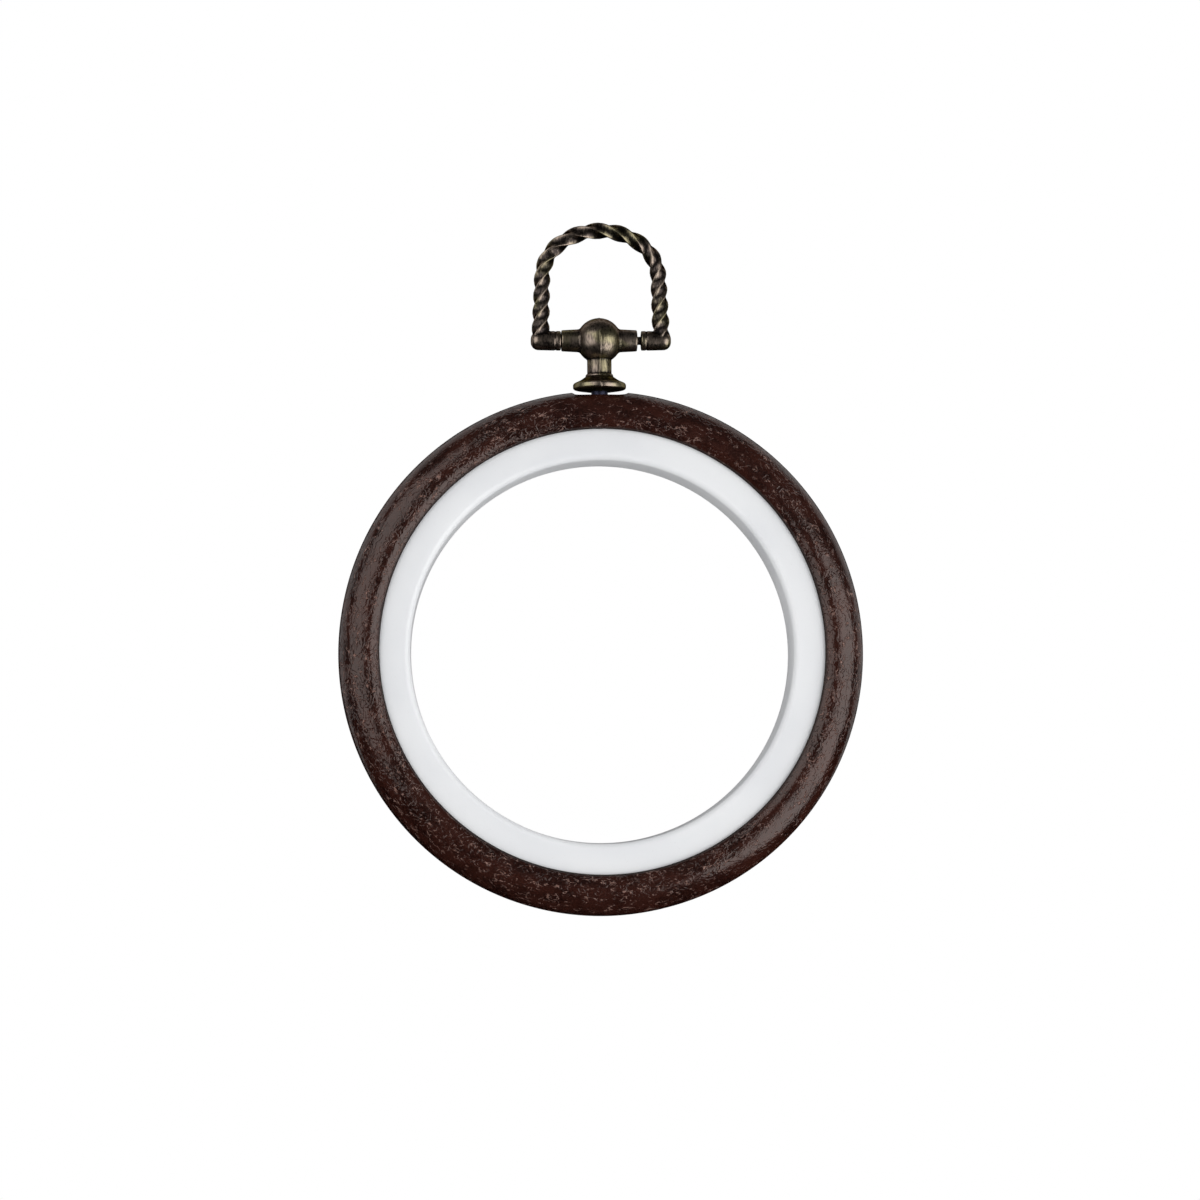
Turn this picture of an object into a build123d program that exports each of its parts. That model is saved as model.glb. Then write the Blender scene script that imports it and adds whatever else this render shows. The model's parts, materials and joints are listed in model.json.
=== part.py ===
"""Screwless embroidery hoop, hanging from its cast ring.

A soft moulded outer ring grips a rigid white inner ring with the cloth between them. A stem riveted
through the top of the outer ring carries a cast head, and a twisted bail turns in the ends of its
cross tube.

The origin is the point under the bail's arch where a nail carries the hoop. Z is up and the front of
the hoop faces -Y.
"""

import os
from math import asin, cos, degrees, radians, sin, sqrt, tan

from build123d import *

# Sizes are in millimetres and angles in degrees.

# The soft outer ring: the nominal size is the circle of work that its lip leaves in view.
nominal_diameter = 80.0
ring_width = 7.5
ring_depth = 10.0
crest_width = 2.4
lip_drop = 1.1
lip_thickness = 0.4
cloth_ledge = 0.9
back_edge_bevel = 0.9
crest_side_steps = 4
crest_lip_steps = 2

# The rigid inner ring, a channel that is open at the back
flange_width = 5.9
window_draft = 2.9
window_edge_bevel = 0.5
flange_thickness = 1.8
inner_wall_thickness = 1.6
inner_ring_inset = 0.2
lip_gap = 0.1
cloth_gap = 0.3
bead_height = 0.22
bead_half_width = 1.1
bead_setback = 3.8
groove_depth = 0.35
groove_half_width = 1.5

# The flat seat in the outer ring under the hanger, and the stem riveted through it
seat_diameter = 10.3
seat_depth = 0.9
pocket_depth = 1.7
stem_diameter = 3.0
stem_running_gap = 0.1
stem_reach = 7.0
rivet_head_diameter = 5.0
rivet_head_thickness = 0.9
rivet_head_bevel = 0.25
washer_diameter = 5.4
washer_thickness = 0.4
washer_gap = 0.1
pocket_gap = 0.2
hanger_lift = 0.8

# The cast head: a dished foot, a concave skirt, a neck and a ball with a cross tube through it
foot_diameter = 9.63
foot_dish = 0.44
foot_rim_height = 1.0
foot_rim_bevel = 0.2
foot_flat_diameter = 4.4
skirt_height = 1.3
skirt_waist_height = 0.6
skirt_waist_diameter = 7.0
skirt_top_diameter = 5.0
neck_diameter = 4.43
neck_bead_height = 0.4
neck_bead_bevel = 0.15
neck_height = 6.6
ball_diameter = 8.26
ball_steps = 4
nib_diameter = 1.3
nib_height = 0.3
tube_length = 13.76
tube_end_diameter = 3.85
tube_root_diameter = 4.2
tube_flare_length = 0.45
tube_flare_diameter = 5.2
tube_end_bevel = 0.15
tube_bore_diameter = 1.66
countersink_diameter = 2.7
countersink_angle = 90.0

# The bail: a square bar twisted along two legs and an arch, with a collar and a pin at each foot
crown_radius = 12.5
crown_half_sweep = 34.0
shoulder_radius = 8.2
leg_length = 11.55
leg_splay = 2.15
bar_radius = 1.55
bar_foot_radius = 1.72
ridge_half_angle = 4.5
hollow_radius_share = 0.71
leg_lead = 11.8
crown_lead = 16.0
crown_twist = 20.0
steps_per_lead = 14
left_side_gap = 0.12
right_side_gap = 0.75
pin_diameter = 1.5
pin_length = 3.0
collar_diameter = 3.56
collar_band_width = 0.8
collar_groove_width = 0.3
collar_groove_depth = 0.14
collar_bevel = 0.12
elbow_diameter = 3.36
elbow_end_round = 1.0
elbow_end_steps = 2

# One overrun serves every cut.
overrun = 5.0

# Radii and heights worked out from the sizes above
lip_radius = nominal_diameter / 2
outer_radius = lip_radius + ring_width
ledge_radius = lip_radius + cloth_ledge
front_y = -ring_depth / 2
back_y = ring_depth / 2
lip_back_y = front_y + lip_drop + lip_thickness
inner_front_y = lip_back_y + lip_gap
inner_back_y = back_y - inner_ring_inset
bead_y = inner_front_y + bead_setback
inner_outer_radius = ledge_radius - cloth_gap

shoulder_sweep = 90 - leg_splay - crown_half_sweep
foot_spread = (
    crown_radius * sin(radians(crown_half_sweep))
    + shoulder_radius * (cos(radians(leg_splay)) - sin(radians(crown_half_sweep)))
    + leg_length * sin(radians(leg_splay))
)
arch_rise = (
    crown_radius * (1 - cos(radians(crown_half_sweep)))
    + shoulder_radius * (cos(radians(crown_half_sweep)) - sin(radians(leg_splay)))
    + leg_length * cos(radians(leg_splay))
)
pivot_z = bar_radius - arch_rise
ball_radius = ball_diameter / 2
skirt_top_z = pivot_z - neck_height
foot_rim_top_z = skirt_top_z - skirt_height
foot_rim_bottom_z = foot_rim_top_z - foot_rim_height
foot_bottom_z = foot_rim_bottom_z - foot_dish
seat_z = foot_bottom_z - hanger_lift
hoop_centre_z = seat_z + seat_depth - outer_radius
pocket_z = hoop_centre_z + ledge_radius + pocket_depth
washer_bottom_z = pocket_z - washer_thickness
rivet_head_top_z = washer_bottom_z - washer_gap
rivet_head_bottom_z = rivet_head_top_z - rivet_head_thickness
stem_top_z = foot_bottom_z + stem_reach

hoop_axis = Axis((0, 0, hoop_centre_z), (0, 1, 0))
ring_plane = Plane.XY.offset(hoop_centre_z)
bail_x = (right_side_gap - left_side_gap) / 2
collar_face = tube_length / 2 + (left_side_gap + right_side_gap) / 2
bail_plane = Plane(origin=(bail_x, 0, pivot_z), x_dir=(1, 0, 0), z_dir=(0, -1, 0))
head_plane = Plane(origin=(0, 0, pivot_z), x_dir=(1, 0, 0), z_dir=(0, -1, 0))


def arc_points(centre, radius, start, end, steps):
    """Points on an arc, for a rounding that is turned as a few short cones."""
    turns = [radians(start + (end - start) * step / steps) for step in range(steps + 1)]
    return [(centre[0] + radius * cos(turn), centre[1] + radius * sin(turn)) for turn in turns]


# The outer ring: a wide round outwards from the crest, a tighter one inwards to the lip, a flat back,
# and a ledge behind the lip for the inner ring
with BuildPart() as outer_ring:
    with BuildSketch(ring_plane) as ring_section:
        crest = lip_radius + crest_width
        side_round = outer_radius - crest
        lip_round = (crest_width**2 + lip_drop**2) / (2 * lip_drop)
        lip_turn = degrees(asin(crest_width / lip_round))
        with BuildLine():
            Polyline(
                *arc_points((crest, front_y + side_round), side_round, 0, -90, crest_side_steps),
                *arc_points(
                    (crest, front_y + lip_round), lip_round, -90, -90 - lip_turn, crest_lip_steps
                )[1:],
                (lip_radius, lip_back_y),
                (ledge_radius, lip_back_y),
                # The groove that the inner ring's bead snaps behind
                (ledge_radius, bead_y - groove_half_width),
                (ledge_radius + groove_depth, bead_y),
                (ledge_radius, bead_y + groove_half_width),
                (ledge_radius, back_y),
                (outer_radius, back_y),
                close=True,
            )
        make_face()
        back_corners = ring_section.vertices().group_by(Axis.Y)[-1].sort_by(Axis.X)
        chamfer(back_corners[-1], back_edge_bevel)
    revolve(axis=hoop_axis)
    # The stem's hole, with the hanger's flat seat around its mouth
    with Locations((0, 0, seat_z + seat_depth)):
        CounterBoreHole(
            radius=stem_diameter / 2 + stem_running_gap,
            counter_bore_radius=seat_diameter / 2,
            counter_bore_depth=seat_depth,
            depth=ring_width + overrun,
        )
    # The pocket that hides the washer and the rivet's head
    with Locations((0, 0, pocket_z)):
        Cylinder(
            washer_diameter / 2 + pocket_gap,
            overrun,
            align=(Align.CENTER, Align.CENTER, Align.MAX),
            mode=Mode.SUBTRACT,
        )

# The inner ring: a flange in front and two walls behind it, with a low bead round the outer wall
with BuildPart() as inner_ring:
    with BuildSketch(ring_plane) as channel_section:
        window_front = inner_outer_radius - flange_width
        window_back = window_front - (inner_back_y - inner_front_y) * tan(radians(window_draft))
        flange_back_y = inner_front_y + flange_thickness
        outer_wall = inner_outer_radius - inner_wall_thickness
        inner_wall = window_front + inner_wall_thickness
        with BuildLine():
            Polyline(
                (inner_outer_radius, inner_front_y),
                (inner_outer_radius, bead_y - bead_half_width),
                (inner_outer_radius + bead_height, bead_y),
                (inner_outer_radius, bead_y + bead_half_width),
                (inner_outer_radius, inner_back_y),
                (outer_wall, inner_back_y),
                (outer_wall, flange_back_y),
                (inner_wall, flange_back_y),
                (inner_wall, inner_back_y),
                (window_back, inner_back_y),
                (window_front, inner_front_y),
                close=True,
            )
        make_face()
        front_corners = channel_section.vertices().group_by(Axis.Y)[0].sort_by(Axis.X)
        chamfer(front_corners[0], window_edge_bevel)
    revolve(axis=hoop_axis)

# The stem, pressed into the head above and set over into a flat head below the washer
with BuildPart() as rivet:
    with BuildSketch(Plane.XY.offset(rivet_head_bottom_z)):
        Circle(rivet_head_diameter / 2)
    extrude(amount=rivet_head_thickness)
    chamfer(rivet.edges().group_by(Axis.Z)[0], rivet_head_bevel)
    with BuildSketch(Plane.XY.offset(rivet_head_top_z)):
        Circle(stem_diameter / 2)
    extrude(amount=stem_top_z - rivet_head_top_z)

with BuildPart() as rivet_washer:
    with BuildSketch(Plane.XY.offset(washer_bottom_z)):
        Circle(washer_diameter / 2)
        Circle(stem_diameter / 2 + stem_running_gap, mode=Mode.SUBTRACT)
    extrude(amount=washer_thickness)

# The head's foot, skirt and neck are one turned outline, and the ball with its cross tube another.
with BuildPart() as hanger_head:
    with BuildSketch(Plane.XZ) as turned_section:
        foot_radius = foot_diameter / 2
        neck_bead_z = skirt_top_z + neck_bead_height
        with BuildLine():
            Polyline(
                (0, foot_bottom_z),
                (foot_flat_diameter / 2, foot_bottom_z),
                (foot_radius, foot_rim_bottom_z),
                (foot_radius, foot_rim_top_z),
                (skirt_waist_diameter / 2, foot_rim_top_z + skirt_waist_height),
                (skirt_top_diameter / 2, skirt_top_z),
                (skirt_top_diameter / 2, neck_bead_z),
                (neck_diameter / 2, neck_bead_z),
                (neck_diameter / 2, pivot_z),
                (0, pivot_z),
                close=True,
            )
        make_face()
        rim_corners = turned_section.vertices().group_by(Axis.X)[-1]
        chamfer(rim_corners, foot_rim_bevel)
        bead_corners = turned_section.vertices().filter_by_position(
            Axis.X, skirt_top_diameter / 2, skirt_top_diameter / 2
        )
        chamfer(bead_corners.sort_by(Axis.Y)[-1], neck_bead_bevel)
    revolve(axis=Axis.Z)
    # The cross tube thickens from each end towards the ball and flares into it.
    with BuildSketch(head_plane) as tube_section:
        flare_end = sqrt(ball_radius**2 - (tube_flare_diameter / 2) ** 2)
        flare_turn = degrees(asin(tube_flare_diameter / ball_diameter))
        half_outline = [
            (tube_length / 2, 0),
            (tube_length / 2, tube_end_diameter / 2),
            (flare_end + tube_flare_length, tube_root_diameter / 2),
            *arc_points((0, 0), ball_radius, flare_turn, 90, ball_steps),
        ]
        with BuildLine():
            Polyline(*half_outline, *[(-x, z) for x, z in reversed(half_outline[:-1])], close=True)
        make_face()
        end_corners = tube_section.vertices().filter_by_position(
            Axis.Y, tube_end_diameter / 2, tube_end_diameter / 2
        )
        chamfer(end_corners, tube_end_bevel)
    revolve(axis=Axis((0, 0, pivot_z), (1, 0, 0)))
    # The casting's feed leaves a nib on top of the ball.
    with Locations((0, 0, pivot_z + ball_radius + nib_height)):
        Cone(
            nib_diameter / 2,
            nib_diameter / 4,
            2 * nib_height,
            align=(Align.CENTER, Align.CENTER, Align.MAX),
        )
    # The blind bore that the stem is pressed into
    with Locations((0, 0, foot_bottom_z)):
        Cylinder(
            stem_diameter / 2,
            stem_reach,
            align=(Align.CENTER, Align.CENTER, Align.MIN),
            mode=Mode.SUBTRACT,
        )
    # The bore for the bail's pins runs right through and opens out at both ends.
    for side in (-1, 1):
        end_plane = Plane(
            origin=(side * tube_length / 2, 0, pivot_z), x_dir=(0, 1, 0), z_dir=(side, 0, 0)
        )
        with Locations(end_plane):
            CounterSinkHole(
                radius=tube_bore_diameter / 2,
                counter_sink_radius=countersink_diameter / 2,
                depth=tube_length / 2 + overrun,
                counter_sink_angle=countersink_angle,
            )


def twist_at(run):
    """Degrees that the bar has turned after a run from the left foot.

    The twist is even along a leg, eases out over the shoulder, and is even and slower over the crown.
    """
    shoulder_run = shoulder_radius * radians(shoulder_sweep)
    half_run = leg_length + shoulder_run + crown_radius * radians(crown_half_sweep)
    from_top = abs(run - half_run)
    crown_run = crown_radius * radians(crown_half_sweep)
    in_crown = min(from_top, crown_run)
    in_shoulder = min(max(from_top - crown_run, 0), shoulder_run)
    in_leg = max(from_top - crown_run - shoulder_run, 0)
    slow, fast = 360 / crown_lead, 360 / leg_lead
    easing = (fast - slow) * in_shoulder**2 / (2 * shoulder_run)
    turned = slow * (in_crown + in_shoulder) + easing + fast * in_leg
    return turned if run > half_run else -turned


def bar_outline(plane, radius):
    """Corners of the bar's outline on a plane: four narrow ridges with shallow hollows between them."""
    corners = []
    for ridge in (0, 90, 180, 270):
        for turn, reach in (
            (ridge - ridge_half_angle, radius),
            (ridge + ridge_half_angle, radius),
            (ridge + 45, radius * hollow_radius_share),
        ):
            corner = (reach * cos(radians(turn)), reach * sin(radians(turn)))
            corners.append(plane.from_local_coords(corner))
    return corners


def twisted_bar(route):
    """The bar along a route, as short flats between outlines that turn a little at each step."""
    steps = round(steps_per_lead * route.length / leg_lead)
    outlines = []
    for step in range(steps + 1):
        run = route.length * step / steps
        to_foot = min(run, route.length - run)
        swell = (bar_foot_radius - bar_radius) * max(0, 1 - to_foot / leg_length)
        along = route.tangent_at(step / steps)
        turned = Vector(0, -1, 0).rotate(Axis((0, 0, 0), along), twist_at(run) + crown_twist)
        across = Plane(origin=route.position_at(step / steps), x_dir=turned, z_dir=along)
        outlines.append(bar_outline(across, bar_radius + swell))
    facets = [Face(Wire.make_polygon(outlines[0])), Face(Wire.make_polygon(outlines[-1]))]
    for near, far in zip(outlines, outlines[1:]):
        for corner in range(len(near)):
            a, b = near[corner - 1], near[corner]
            c, d = far[corner - 1], far[corner]
            facets.append(Face(Wire.make_polygon([a, b, d])))
            facets.append(Face(Wire.make_polygon([a, d, c])))
    return Solid(Shell(facets))


# Each foot of the bail is an elbow, a grooved collar and the pin that turns in the cross tube.
with BuildPart() as bail_foot:
    with BuildSketch(bail_plane) as foot_section:
        pin_radius = pin_diameter / 2
        collar_radius = collar_diameter / 2
        elbow_radius = elbow_diameter / 2
        groove_start = collar_face + collar_band_width
        elbow_end = foot_spread + bar_foot_radius
        with BuildLine():
            Polyline(
                (collar_face - pin_length, 0),
                (collar_face - pin_length, pin_radius),
                (collar_face, pin_radius),
                (collar_face, collar_radius),
                (groove_start, collar_radius),
                (groove_start + collar_groove_width / 2, collar_radius - collar_groove_depth),
                (groove_start + collar_groove_width, collar_radius),
                # The elbow tapers from the collar to its rounded outer end.
                *arc_points(
                    (elbow_end - elbow_end_round, elbow_radius - elbow_end_round),
                    elbow_end_round,
                    90,
                    0,
                    elbow_end_steps,
                ),
                (elbow_end, 0),
                close=True,
            )
        make_face()
        face_corners = foot_section.vertices().filter_by_position(
            Axis.X, collar_face, collar_face
        )
        chamfer(face_corners.sort_by(Axis.Y)[-1], collar_bevel)
    revolve(axis=Axis((bail_x, 0, pivot_z), (1, 0, 0)))

# The bail's bar climbs one leg, goes over the arch and comes down the other leg.
with BuildPart() as bail:
    with BuildLine(bail_plane) as centreline:
        leg_top = (
            -foot_spread + leg_length * sin(radians(leg_splay)),
            leg_length * cos(radians(leg_splay)),
        )
        leg = Line((-foot_spread, 0), leg_top)
        shoulder = JernArc(leg @ 1, leg % 1, shoulder_radius, -shoulder_sweep)
        crown = JernArc(shoulder @ 1, shoulder % 1, crown_radius, -2 * crown_half_sweep)
        far_shoulder = JernArc(crown @ 1, crown % 1, shoulder_radius, -shoulder_sweep)
        Line(far_shoulder @ 1, (far_shoulder @ 1) + (far_shoulder % 1) * leg_length)
    route = centreline.wires()[0]
    add(twisted_bar(route))
    add(bail_foot.part)
    mirror(bail_foot.part, about=Plane.YZ.offset(bail_x))

os.makedirs("parts", exist_ok=True)
pieces = {
    "outer_ring": outer_ring,
    "inner_ring": inner_ring,
    "rivet": rivet,
    "rivet_washer": rivet_washer,
    "hanger_head": hanger_head,
    "bail": bail,
}
for name, piece in pieces.items():
    piece.part.label = name
    export_step(piece.part, f"parts/{name}.step")
print("bar runs", round(route.length, 2), "hoop centre", round(hoop_centre_z, 2))
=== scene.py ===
# %% [markdown]
# A screwless embroidery hoop hangs from a small cast hanger. Its soft brown ring grips a white plastic
# ring, and a twisted bail swings in the hanger's cross tube.
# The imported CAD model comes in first, as a frame that stays where it is. Each piece below is built
# around it in metres, takes the place of one CAD solid and rides on the body that carries it.

# %% The frame
import json
from math import asin, atan2, cos, degrees, pi, radians, sin, sqrt, tau

import bmesh
import bpy
import numpy as np
from mathutils import Matrix, Quaternion, Vector


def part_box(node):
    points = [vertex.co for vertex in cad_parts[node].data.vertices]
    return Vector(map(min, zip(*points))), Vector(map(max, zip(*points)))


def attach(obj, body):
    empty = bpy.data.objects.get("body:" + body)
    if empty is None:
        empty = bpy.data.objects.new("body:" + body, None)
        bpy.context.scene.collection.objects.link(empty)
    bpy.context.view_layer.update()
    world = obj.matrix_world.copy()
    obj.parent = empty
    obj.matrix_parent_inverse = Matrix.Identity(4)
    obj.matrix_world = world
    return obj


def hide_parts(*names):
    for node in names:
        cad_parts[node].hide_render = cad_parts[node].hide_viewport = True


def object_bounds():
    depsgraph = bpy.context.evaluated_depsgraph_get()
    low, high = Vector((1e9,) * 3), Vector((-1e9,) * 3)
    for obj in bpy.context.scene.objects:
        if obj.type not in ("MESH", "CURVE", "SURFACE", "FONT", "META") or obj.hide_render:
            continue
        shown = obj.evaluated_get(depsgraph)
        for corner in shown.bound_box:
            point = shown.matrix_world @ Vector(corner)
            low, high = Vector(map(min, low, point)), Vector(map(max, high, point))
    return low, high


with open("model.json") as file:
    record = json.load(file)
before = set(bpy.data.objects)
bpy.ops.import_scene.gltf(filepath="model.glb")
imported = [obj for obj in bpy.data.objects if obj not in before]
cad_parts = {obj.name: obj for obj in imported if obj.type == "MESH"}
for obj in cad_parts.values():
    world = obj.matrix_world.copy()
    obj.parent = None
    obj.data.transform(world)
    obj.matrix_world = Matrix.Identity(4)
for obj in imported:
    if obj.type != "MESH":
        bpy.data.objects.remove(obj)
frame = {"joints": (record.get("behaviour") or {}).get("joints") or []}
cad_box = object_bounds()
mm = 0.001
pivot = {joint["name"]: Vector(joint["pos_m"]) for joint in frame["joints"] if "pos_m" in joint}
tube_axis_z = pivot["bail_pivot"].z
seat_z = pivot["hanger_swivel"].z
ring_low, ring_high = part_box("inner_ring")
hoop_centre = Vector((0, 0, (ring_low.z + ring_high.z) / 2))

# %% [markdown]
# The photograph looks at the hoop from a little to the left and from just below its middle. The angles
# come from how far the back edge of the opening sits from the front edge, and the lens from the outer
# ring's size in the picture. The top of the bail is hardly smaller than the ring, so the camera stands
# well away, with a long lens, and the hoop hangs half a degree off upright.

# %% The camera
view_distance = 900 * mm
view_azimuth = radians(-3.8)
view_elevation = radians(-4.0)
picture_width = 216.9 * mm
aim_beside_centre = -0.22 * mm
aim_above_centre = 9.51 * mm
sensor_width = 36.0
camera_roll = radians(-0.46)

towards_camera = Vector(
    (
        sin(view_azimuth) * cos(view_elevation),
        -cos(view_azimuth) * cos(view_elevation),
        sin(view_elevation),
    )
)
aim = hoop_centre + Vector((aim_beside_centre, 0, aim_above_centre))
camera_data = bpy.data.cameras.new("camera")
camera_data.sensor_width = sensor_width
camera_data.lens = sensor_width * view_distance / picture_width
camera = bpy.data.objects.new("camera", camera_data)
camera.location = hoop_centre + towards_camera * view_distance
level = (aim - camera.location).to_track_quat("-Z", "Y")
camera.rotation_euler = (level @ Quaternion((0, 0, 1), camera_roll)).to_euler()
bpy.context.scene.collection.objects.link(camera)
bpy.context.scene.camera = camera
bpy.context.scene.view_settings.view_transform = "Standard"
print("lens", round(camera_data.lens, 1), "mm")

# %% [markdown]
# Every material and the stage are made of shader nodes. A small helper adds one node, sets its options
# and fills its sockets, either with a value or with a link from another node, so that a material reads
# from top to bottom. An effect that several materials share is a group, with named values to set. Nodes
# could also be laid out by hand in the editor, but a script can be read, changed and run again.

# %% A helper for shader nodes
def put(tree, kind, sockets=None, **options):
    """Adds a node to a tree, with its options, and with values or links in its sockets."""
    made = tree.nodes.new(kind)
    for name, value in options.items():
        setattr(made, name, value)
    for name, value in (sockets or {}).items():
        if isinstance(value, bpy.types.NodeSocket):
            tree.links.new(value, made.inputs[name])
        else:
            made.inputs[name].default_value = value
    return made


def maths(tree, operation, *values):
    made = put(tree, "ShaderNodeMath", dict(enumerate(values)), operation=operation)
    return made.outputs[0]


def remap(tree, value, low, high, new_low=0.0, new_high=1.0):
    """Maps low..high onto new_low..new_high with soft ends and clamps it."""
    sockets = {"Value": value, "From Min": low, "From Max": high, "To Min": new_low, "To Max": new_high}
    return put(tree, "ShaderNodeMapRange", sockets, interpolation_type="SMOOTHSTEP").outputs["Result"]


def blend(tree, share, first, second):
    """Mixes two colours. They are a Mix node's inputs 6 and 7, and the result is its output 2."""
    return put(tree, "ShaderNodeMix", {0: share, 6: first, 7: second}, data_type="RGBA").outputs[2]


def group(name, inputs, outputs):
    """A node group that several materials place: the group, its given values and its results."""
    made = bpy.data.node_groups.new(name, "ShaderNodeTree")
    for label, (kind, value) in inputs.items():
        socket = made.interface.new_socket(name=label, in_out="INPUT", socket_type=kind)
        if value is not None:
            socket.default_value = value
    for label, kind in outputs.items():
        made.interface.new_socket(name=label, in_out="OUTPUT", socket_type=kind)
    return made, put(made, "NodeGroupInput").outputs, put(made, "NodeGroupOutput").inputs


# %% [markdown]
# The stage is a plain pale floor below the hanging hoop, with a pale backdrop far behind it. Both look
# white to the camera, and straight below the hoop the floor keeps its soft shade. In reflections they
# glow only far from the hoop, so that the undersides and the rims of the dark pieces stay dark, as they
# are in the photograph. Both sheets need the same mask of distance from a centre, so it is a group.

# %% The mask of distance, as a group
far_mask, given, out = group(
    "far_mask",
    {
        "Place": ("NodeSocketVector", None),
        "Centre": ("NodeSocketVector", None),
        "Near": ("NodeSocketFloat", 0.0),
        "Far": ("NodeSocketFloat", 1.0),
    },
    {"Mask": "NodeSocketFloat"},
)
ends = {0: given["Place"], 1: given["Centre"]}
away = put(far_mask, "ShaderNodeVectorMath", ends, operation="DISTANCE").outputs["Value"]
far_mask.links.new(remap(far_mask, away, given["Near"], given["Far"]), out["Mask"])
print(far_mask.name, "of", len(far_mask.nodes), "nodes")

# %% [markdown]
# Each sheet is a grid of one face. Its material mixes plain pale paint with a glow. A Light Path node
# tells which kind of ray has arrived, so the camera and the reflections can be answered differently, and
# the light that falls on the hoop stays plain.

# %% The floor and the backdrop
floor_drop = 420 * mm
stage_reach = 6.0
backdrop_distance = 1.5
white = (1.0, 1.0, 1.0, 1.0)
pale_paint = (0.9, 0.9, 0.9, 1.0)


def stage_material(name, centre, seen_span, mirrored_span, mirrored_glow):
    """Pale paint that glows white far from a centre, seen directly and, dimmer, in reflections."""
    material = bpy.data.materials.new(name)
    material.use_nodes = True
    tree = material.node_tree
    tree.nodes.clear()
    place = put(tree, "ShaderNodeTexCoord").outputs["Object"]

    def far(span):
        sockets = {"Place": place, "Centre": centre, "Near": span[0], "Far": span[1]}
        return put(tree, "ShaderNodeGroup", sockets, node_tree=far_mask).outputs["Mask"]

    path = put(tree, "ShaderNodeLightPath").outputs
    seen = maths(tree, "MULTIPLY", path["Is Camera Ray"], far(seen_span))
    mirrored = maths(tree, "MAXIMUM", path["Is Glossy Ray"], path["Is Transmission Ray"])
    strength = maths(tree, "MULTIPLY", far(mirrored_span), mirrored_glow)
    strength = maths(tree, "MAXIMUM", path["Is Camera Ray"], strength)
    pale = put(tree, "ShaderNodeBsdfDiffuse", {"Color": pale_paint})
    glow = put(tree, "ShaderNodeEmission", {"Color": white, "Strength": strength})
    share = maths(tree, "MAXIMUM", seen, mirrored)
    mixed = put(tree, "ShaderNodeMixShader", {0: share, 1: pale.outputs[0], 2: glow.outputs[0]})
    # From below, the floor is clear, so that it never hides the hoop.
    behind = put(tree, "ShaderNodeNewGeometry").outputs["Backfacing"]
    clear = put(tree, "ShaderNodeBsdfTransparent")
    last = put(tree, "ShaderNodeMixShader", {0: behind, 1: mixed.outputs[0], 2: clear.outputs[0]})
    put(tree, "ShaderNodeOutputMaterial", {"Surface": last.outputs[0]})
    return material


def stage_sheet(name, place, material):
    sheet = bmesh.new()
    bmesh.ops.create_grid(sheet, x_segments=1, y_segments=1, size=stage_reach)
    bmesh.ops.transform(sheet, matrix=place, verts=sheet.verts)
    mesh = bpy.data.meshes.new(name)
    sheet.to_mesh(mesh)
    sheet.free()
    mesh.materials.append(material)
    stage_object = bpy.data.objects.new(name, mesh)
    bpy.context.scene.collection.objects.link(stage_object)
    print(name, "made")


floor_centre = Vector((0, 0, cad_box[0].z - floor_drop))
floor_paint = stage_material(
    "pale_floor", floor_centre, seen_span=(0.05, 0.45), mirrored_span=(3.0, 6.0), mirrored_glow=0.3
)
stage_sheet("floor", Matrix.Translation(floor_centre), floor_paint)

backdrop_centre = Vector((0, backdrop_distance, hoop_centre.z))
backdrop_paint = stage_material(
    "pale_backdrop", backdrop_centre, seen_span=(-2.0, -1.0), mirrored_span=(0.8, 1.2), mirrored_glow=0.55
)
upright = Matrix.Rotation(pi / 2, 4, "X")
stage_sheet("backdrop", Matrix.Translation(backdrop_centre) @ upright, backdrop_paint)

# %% [markdown]
# Two large soft lamps stand to the left and right of the camera, one a little higher and one a little
# lower. Their reflections make the two pale bands that run along the sides of the brown ring, while its
# top and bottom stay dark. Small lamps would give hard shadows and sharp glints instead. The room adds a
# dim even fill, darker in reflections, and is white to the camera.

# %% The lamps and the room
lamp_distance = 0.5
lamp_width, lamp_height = 0.5, 0.6
room_fill = (0.45, 0.45, 0.45, 1.0)
room_in_reflections = (0.04, 0.04, 0.04, 1.0)


def soft_lamp(name, azimuth, elevation, brightness):
    """A soft lamp that faces the hoop, given by the brightness of its face."""
    lamp = bpy.data.lights.new(name, "AREA")
    lamp.shape = "RECTANGLE"
    lamp.size, lamp.size_y = lamp_width, lamp_height
    lamp.energy = brightness * pi * lamp_width * lamp_height
    holder = bpy.data.objects.new(name, lamp)
    side, up = radians(azimuth), radians(elevation)
    away = Vector((sin(side) * cos(up), -cos(side) * cos(up), sin(up)))
    holder.location = hoop_centre + away * lamp_distance
    holder.rotation_euler = away.to_track_quat("Z", "Y").to_euler()
    bpy.context.scene.collection.objects.link(holder)
    print(name, round(lamp.energy, 2), "W")


soft_lamp("left_lamp", -48, 14, 1.5)
soft_lamp("right_lamp", 50, -12, 2.35)

world = bpy.data.worlds.new("studio")
bpy.context.scene.world = world
world.use_nodes = True
room = world.node_tree
room.nodes.clear()
path = put(room, "ShaderNodeLightPath").outputs
fill = blend(room, path["Is Glossy Ray"], room_fill, room_in_reflections)
sky = put(room, "ShaderNodeBackground", {"Color": blend(room, path["Is Camera Ray"], fill, white)})
put(room, "ShaderNodeOutputWorld", {"Surface": sky.outputs[0]})
print("room of", len(room.nodes), "nodes")

# %% [markdown]
# Most of the pieces are turned or moulded round an axis, so they start as a flat outline. The outline is
# one face with a few corners. Vertex bevels round its corners, the face is dropped, and the edges that
# are left are spun round the axis. Cylinders and cones could be stacked instead, but an outline keeps
# every rounding and every step in one list.

# %% Outlines and turning
round_steps = 8
merge_distance = 0.002 * mm
axis_distance = 0.001 * mm


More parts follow.
